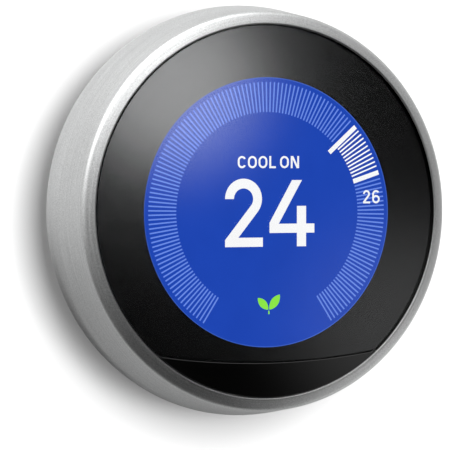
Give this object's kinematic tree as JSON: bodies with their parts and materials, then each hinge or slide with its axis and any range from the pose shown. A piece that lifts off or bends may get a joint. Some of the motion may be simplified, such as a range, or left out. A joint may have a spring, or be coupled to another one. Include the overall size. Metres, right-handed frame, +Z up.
{
  "type": "wall thermostat",
  "caption": "Round wall thermostat with a turning metal ring, a glass front over a round display, and a wall base with wire terminals.",
  "frame": {"origin": "centre of the base's back face, on the wall, on the ring's axis", "axes": "+Z up, +Y into the wall along the ring's axis, the dial faces -Y"},
  "size_m": [0.084, 0.0308, 0.084],
  "materials": {
    "satin_steel": "stainless steel, finely brushed round the ring",
    "black_plastic": "moulded, fine spark texture",
    "printed_band": "film with fine dark bars",
    "acetal": "natural white, slippery",
    "spring_steel": "bright spring steel",
    "front_glass": "polished",
    "dark_window": "polished, dark",
    "black_film": "printed black",
    "display_face": "lit blue picture",
    "white_diffuser": "white diffuser sheet",
    "amber_film": "polyimide film",
    "lens_plastic": "milky, grooved",
    "green_board": "solder mask",
    "tinned_can": "tinned sheet",
    "chip_plastic": "moulded",
    "screw_steel": "zinc plated",
    "connector_plastic": "moulded nylon",
    "gold_contacts": "gold plated",
    "battery_wrap": "shrink film",
    "white_plastic": "moulded, satin",
    "vial_glass": "clear",
    "green_liquid": "clear green",
    "tab_plastic": "moulded, satin"
  },
  "bodies": {
    "base": {"base_plate": "white_plastic", "base_board": "green_board", "base_cover": "white_plastic", "base_cover_screws": "screw_steel", "terminal_block_right": "connector_plastic", "terminal_block_left": "connector_plastic", "terminal_contacts": "gold_contacts", "terminal_springs": "spring_steel", "level_holder": "white_plastic", "level_vial": "vial_glass", "level_liquid": "green_liquid", "base_socket": "connector_plastic", "base_socket_pins": "gold_contacts"},
    "chassis": {"rear_housing": "black_plastic", "rear_skirt": "black_plastic", "housing_screws": "screw_steel", "stop_ring": "spring_steel", "rear_plug": "connector_plastic", "rear_plug_pins": "gold_contacts", "main_board": "green_board", "processor_shield": "tinned_can", "radio_shield": "tinned_can", "board_chips": "chip_plastic", "speaker": "tinned_can", "service_port": "tinned_can", "battery": "battery_wrap", "click_switch": "chip_plastic", "press_springs": "spring_steel"},
    "head": {"head_frame": "black_plastic", "bearing_sleeve": "acetal", "retaining_ring": "spring_steel", "front_lens": "front_glass", "sensor_window": "dark_window", "lens_mask": "black_film", "display_panel": "display_face", "display_backlight": "white_diffuser", "display_flex": "amber_film", "sensor_lens": "lens_plastic", "sensor_board": "green_board", "motion_sensor": "tinned_can", "light_sensor": "chip_plastic", "rotation_sensor": "chip_plastic", "press_plunger": "acetal"},
    "ring": {"outer_ring": "satin_steel", "ring_carrier": "black_plastic", "encoder_band": "printed_band"},
    "tab_1": {"terminal_tab_1": "tab_plastic"},
    "tab_2": {"terminal_tab_2": "tab_plastic"},
    "tab_3": {"terminal_tab_3": "tab_plastic"},
    "tab_4": {"terminal_tab_4": "tab_plastic"},
    "tab_5": {"terminal_tab_5": "tab_plastic"},
    "tab_6": {"terminal_tab_6": "tab_plastic"},
    "tab_7": {"terminal_tab_7": "tab_plastic"},
    "tab_8": {"terminal_tab_8": "tab_plastic"},
    "tab_9": {"terminal_tab_9": "tab_plastic"},
    "tab_10": {"terminal_tab_10": "tab_plastic"}
  },
  "joints": [
    {"name": "display_pull", "type": "slide", "parent": "base", "child": "chassis", "axis": [0, -1, 0], "range_m": [0, 0.035]},
    {"name": "front_press", "type": "slide", "parent": "chassis", "child": "head", "axis": [0, 1, 0], "range_m": [0, 0.0008], "stiffness_N_per_m": 2500, "springref_m": -0.0008, "deforming": ["press_springs", "display_flex"]},
    {"name": "ring_turn", "type": "hinge", "parent": "head", "child": "ring", "pos_m": [0, -0.02, 0], "axis": [0, 1, 0], "continuous": true},
    {"name": "tab_press_1", "type": "slide", "parent": "base", "child": "tab_1", "axis": [0, 1, 0], "range_m": [0, 0.001], "stiffness_N_per_m": 300, "springref_m": -0.0005, "deforming": ["terminal_springs"]},
    {"name": "tab_press_2", "type": "slide", "parent": "base", "child": "tab_2", "axis": [0, 1, 0], "range_m": [0, 0.001], "stiffness_N_per_m": 300, "springref_m": -0.0005, "deforming": ["terminal_springs"]},
    {"name": "tab_press_3", "type": "slide", "parent": "base", "child": "tab_3", "axis": [0, 1, 0], "range_m": [0, 0.001], "stiffness_N_per_m": 300, "springref_m": -0.0005, "deforming": ["terminal_springs"]},
    {"name": "tab_press_4", "type": "slide", "parent": "base", "child": "tab_4", "axis": [0, 1, 0], "range_m": [0, 0.001], "stiffness_N_per_m": 300, "springref_m": -0.0005, "deforming": ["terminal_springs"]},
    {"name": "tab_press_5", "type": "slide", "parent": "base", "child": "tab_5", "axis": [0, 1, 0], "range_m": [0, 0.001], "stiffness_N_per_m": 300, "springref_m": -0.0005, "deforming": ["terminal_springs"]},
    {"name": "tab_press_6", "type": "slide", "parent": "base", "child": "tab_6", "axis": [0, 1, 0], "range_m": [0, 0.001], "stiffness_N_per_m": 300, "springref_m": -0.0005, "deforming": ["terminal_springs"]},
    {"name": "tab_press_7", "type": "slide", "parent": "base", "child": "tab_7", "axis": [0, 1, 0], "range_m": [0, 0.001], "stiffness_N_per_m": 300, "springref_m": -0.0005, "deforming": ["terminal_springs"]},
    {"name": "tab_press_8", "type": "slide", "parent": "base", "child": "tab_8", "axis": [0, 1, 0], "range_m": [0, 0.001], "stiffness_N_per_m": 300, "springref_m": -0.0005, "deforming": ["terminal_springs"]},
    {"name": "tab_press_9", "type": "slide", "parent": "base", "child": "tab_9", "axis": [0, 1, 0], "range_m": [0, 0.001], "stiffness_N_per_m": 300, "springref_m": -0.0005, "deforming": ["terminal_springs"]},
    {"name": "tab_press_10", "type": "slide", "parent": "base", "child": "tab_10", "axis": [0, 1, 0], "range_m": [0, 0.001], "stiffness_N_per_m": 300, "springref_m": -0.0005, "deforming": ["terminal_springs"]}
  ]
}
